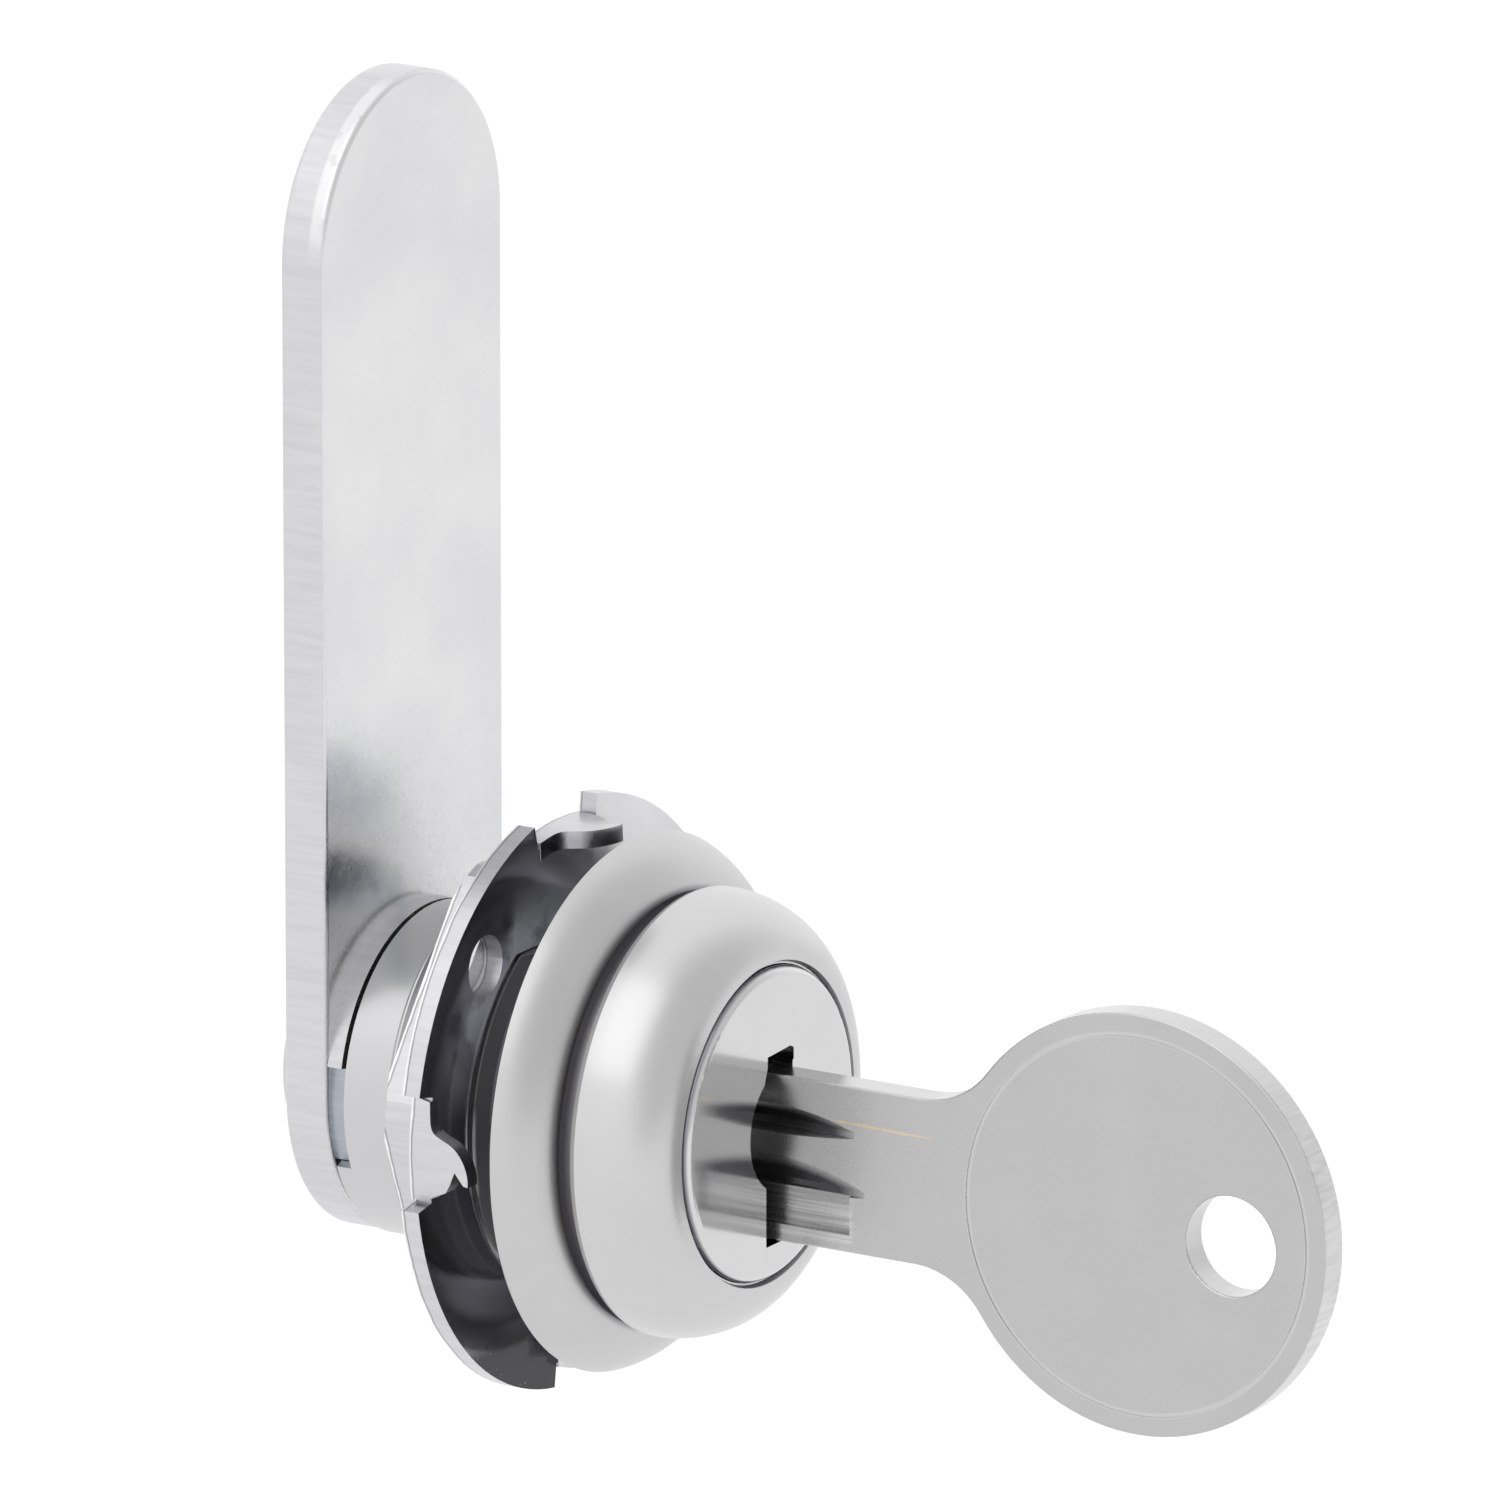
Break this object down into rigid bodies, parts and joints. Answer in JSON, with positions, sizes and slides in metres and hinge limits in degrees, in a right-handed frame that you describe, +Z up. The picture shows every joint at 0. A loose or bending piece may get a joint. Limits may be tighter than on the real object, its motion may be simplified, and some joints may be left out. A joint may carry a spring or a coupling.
{
  "type": "cam lock",
  "caption": "Keyed disc-tumbler cam lock: domed head with a round-bow key, trim collar, spur washer, hex nut and a long straight cam.",
  "frame": {"origin": "on the lock's axis, in the plane of the trim collar's back face, which seats on the front of the panel", "axes": "+Y along the lock's axis from the key side to the back of the panel, +Z up the cam as it stands at rest, +X to the right seen from the key side"},
  "size_m": [0.0282, 0.0551, 0.0628],
  "materials": {
    "body_nickel": "polished nickel plate",
    "plug_nickel": "polished nickel plate",
    "key_nickel": "satin nickel plate, lightly scratched",
    "satin_nickel": "satin nickel plate",
    "zinc_washer": "bright zinc plate with sheared edges",
    "zinc_nut": "bright zinc plate",
    "zinc_ring": "bright zinc plate, dark on its lower finger",
    "zinc_cam": "bright zinc plate, mottled, with a sheared edge",
    "zinc_screw": "bright zinc plate",
    "wafer_brass": "plain stamped",
    "spring_steel": "bright drawn wire"
  },
  "bodies": {
    "lock_body": {"lock_body": "body_nickel", "trim_collar": "satin_nickel", "spur_washer": "zinc_washer", "hex_nut": "zinc_nut"},
    "plug": {"plug": "plug_nickel", "retaining_wafer": "wafer_brass", "retaining_spring": "spring_steel", "stop_washer": "zinc_ring", "cam": "zinc_cam", "cam_lock_washer": "zinc_screw", "cam_screw": "zinc_screw", "wafer_spring_1": "spring_steel", "wafer_spring_2": "spring_steel", "wafer_spring_3": "spring_steel", "wafer_spring_4": "spring_steel", "wafer_spring_5": "spring_steel"},
    "key": {"key": "key_nickel"},
    "wafer_1": {"wafer_1": "wafer_brass"},
    "wafer_2": {"wafer_2": "wafer_brass"},
    "wafer_3": {"wafer_3": "wafer_brass"},
    "wafer_4": {"wafer_4": "wafer_brass"},
    "wafer_5": {"wafer_5": "wafer_brass"}
  },
  "joints": [
    {"name": "plug_turn", "type": "hinge", "parent": "lock_body", "child": "plug", "pos_m": [0, 0, 0], "axis": [0, 1, 0], "range_deg": [0, 90]},
    {"name": "key_slide", "type": "slide", "parent": "plug", "child": "key", "axis": [0, -1, 0], "range_m": [0, 0.024]},
    {"name": "wafer_1_lift", "type": "slide", "parent": "plug", "child": "wafer_1", "axis": [0, 0, 1], "range_m": [0, 0.0009], "deforming": ["wafer_spring_1"]},
    {"name": "wafer_2_lift", "type": "slide", "parent": "plug", "child": "wafer_2", "axis": [0, 0, 1], "range_m": [0, 0.0009], "deforming": ["wafer_spring_2"]},
    {"name": "wafer_3_lift", "type": "slide", "parent": "plug", "child": "wafer_3", "axis": [0, 0, 1], "range_m": [0, 0.0009], "deforming": ["wafer_spring_3"]},
    {"name": "wafer_4_lift", "type": "slide", "parent": "plug", "child": "wafer_4", "axis": [0, 0, 1], "range_m": [0, 0.0009], "deforming": ["wafer_spring_4"]},
    {"name": "wafer_5_lift", "type": "slide", "parent": "plug", "child": "wafer_5", "axis": [0, 0, 1], "range_m": [0, 0.0009], "deforming": ["wafer_spring_5"]}
  ],
  "couplings": [
    {"joint": "wafer_1_lift", "follows": "key_slide", "ratio": 0.0375},
    {"joint": "wafer_2_lift", "follows": "key_slide", "ratio": 0.0375},
    {"joint": "wafer_3_lift", "follows": "key_slide", "ratio": 0.0375},
    {"joint": "wafer_4_lift", "follows": "key_slide", "ratio": 0.0375},
    {"joint": "wafer_5_lift", "follows": "key_slide", "ratio": 0.0375}
  ]
}
